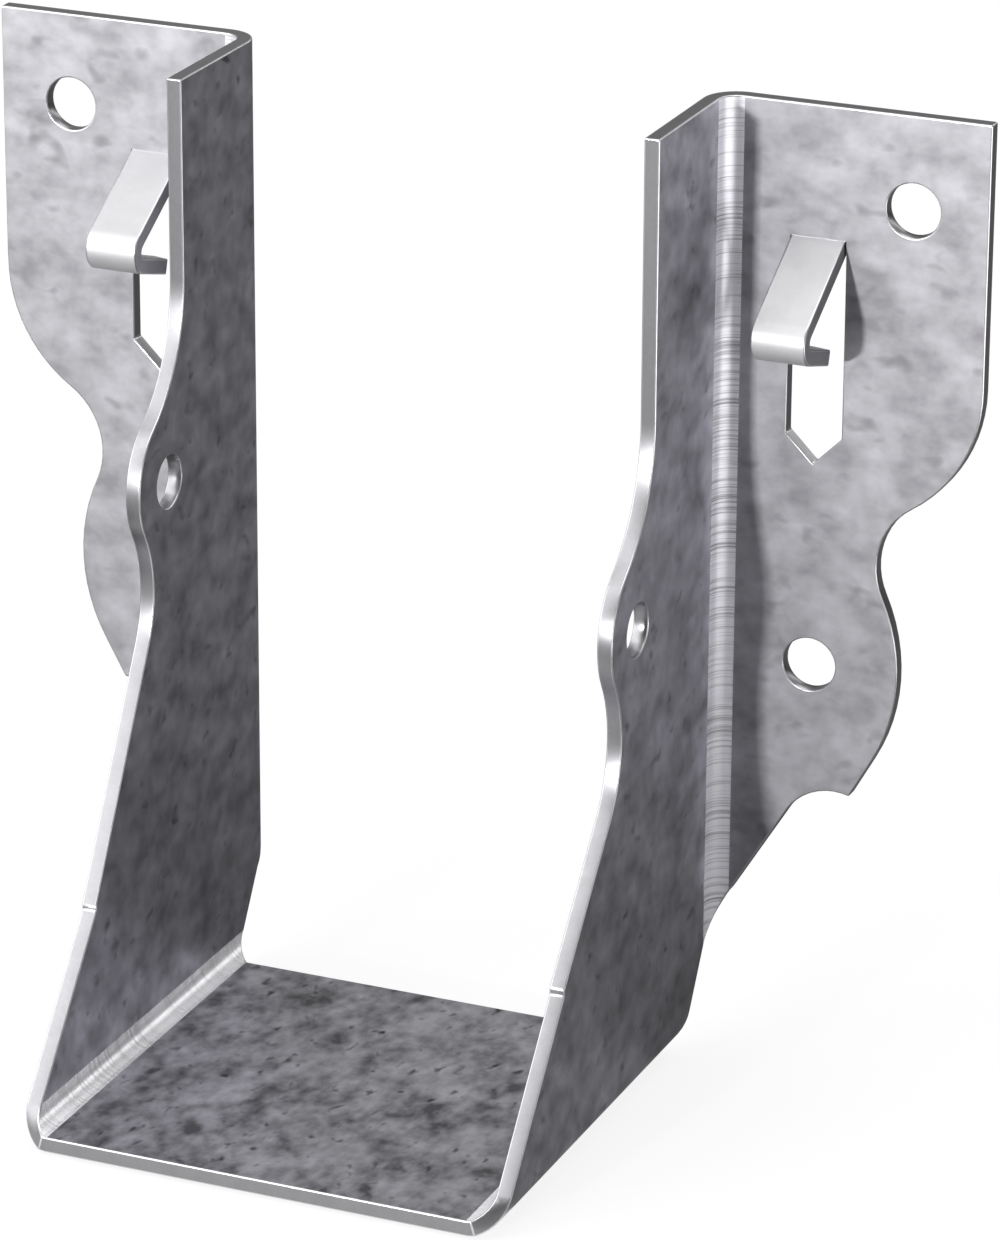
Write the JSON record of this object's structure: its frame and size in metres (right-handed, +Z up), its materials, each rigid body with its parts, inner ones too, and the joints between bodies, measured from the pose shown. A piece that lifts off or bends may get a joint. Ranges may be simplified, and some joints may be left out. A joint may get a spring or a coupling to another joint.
{
  "type": "face-mount joist hanger",
  "caption": "Folded galvanised sheet-metal saddle: a U-shaped seat for a joist end, with scalloped walls, nailing flanges turned outwards and bent positioning prongs.",
  "frame": {"origin": "on the header's face, midway across the joist, level with the underside of the seat", "axes": "+X across the joist, +Y into the header, +Z up from the seat; the joist comes in from -Y"},
  "size_m": [0.0868, 0.0458, 0.0807],
  "materials": {
    "galvanised_steel": "mottled hot-dip galvanised zinc"
  },
  "bodies": {
    "root": {"hanger": "galvanised_steel"}
  },
  "joints": []
}
